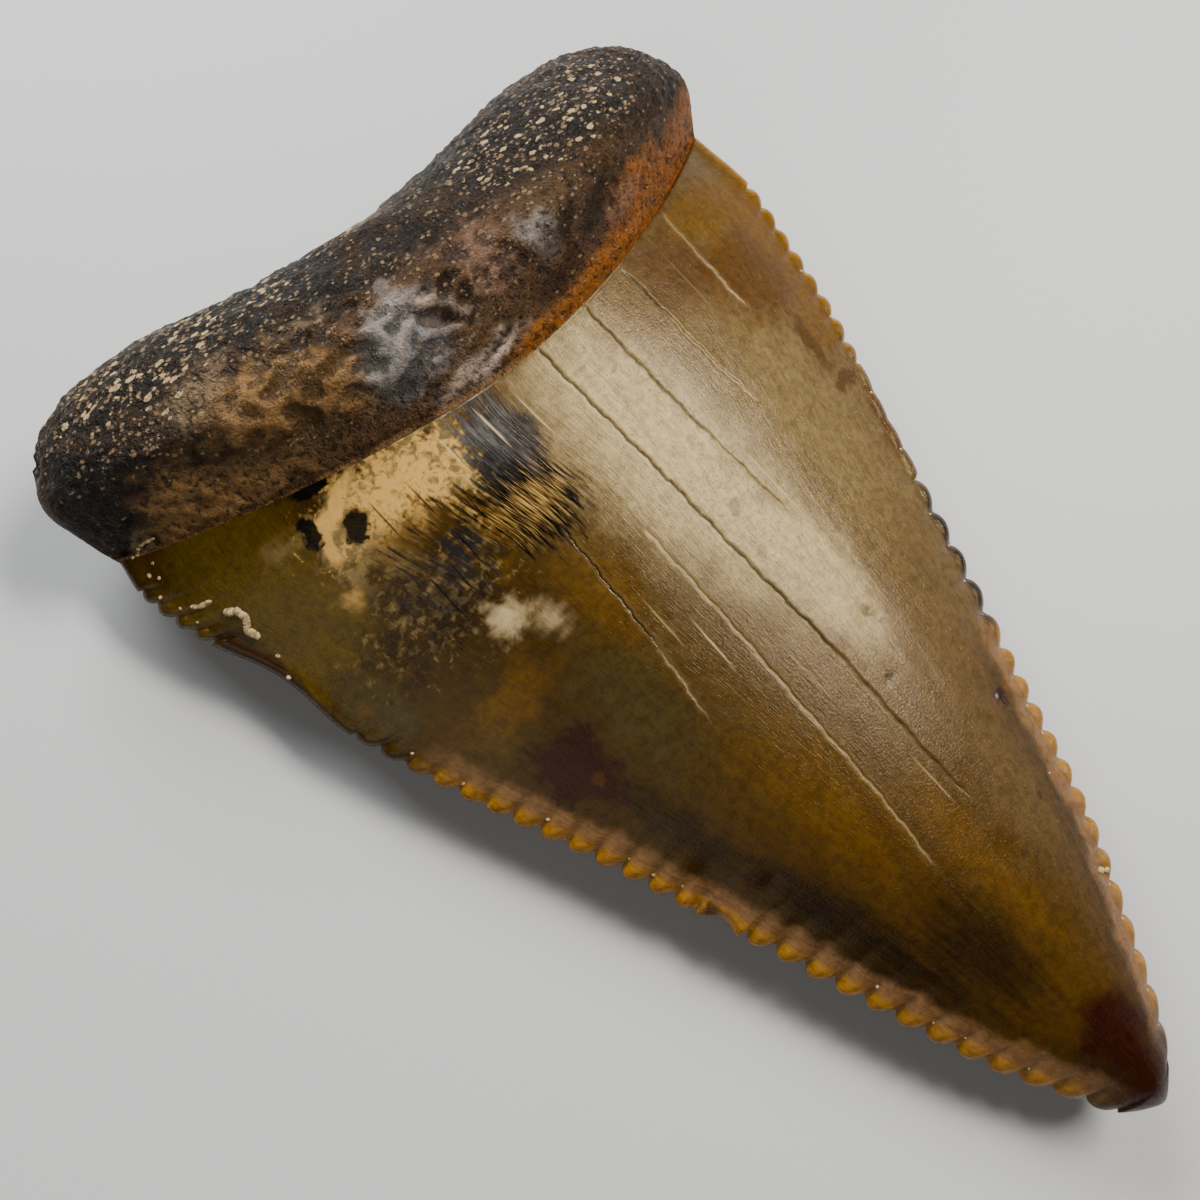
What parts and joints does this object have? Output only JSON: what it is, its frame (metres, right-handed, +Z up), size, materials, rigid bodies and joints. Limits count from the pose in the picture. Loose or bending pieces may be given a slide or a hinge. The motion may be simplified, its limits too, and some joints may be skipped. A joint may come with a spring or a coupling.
{
  "type": "fossil great white shark tooth",
  "caption": "Fossil shark tooth lying on its flatter outer face: triangular crown with serrated cutting edges and a thick two-lobed root",
  "frame": {"origin": "Middle of the tooth's bounding box in plan, at the level of the surface it lies on", "axes": "+Z up out of the bulging lingual face, +Y from the tip to the root, +X to the right with the tip pointing away from +Y"},
  "size_m": [0.0374, 0.0548, 0.0102],
  "materials": {
    "fossil": "mineralised tooth: satin amber, grey and brown enamel on the crown, dark pitted brown-black root with rust stains"
  },
  "bodies": {
    "root": {"tooth": "fossil"}
  },
  "joints": []
}
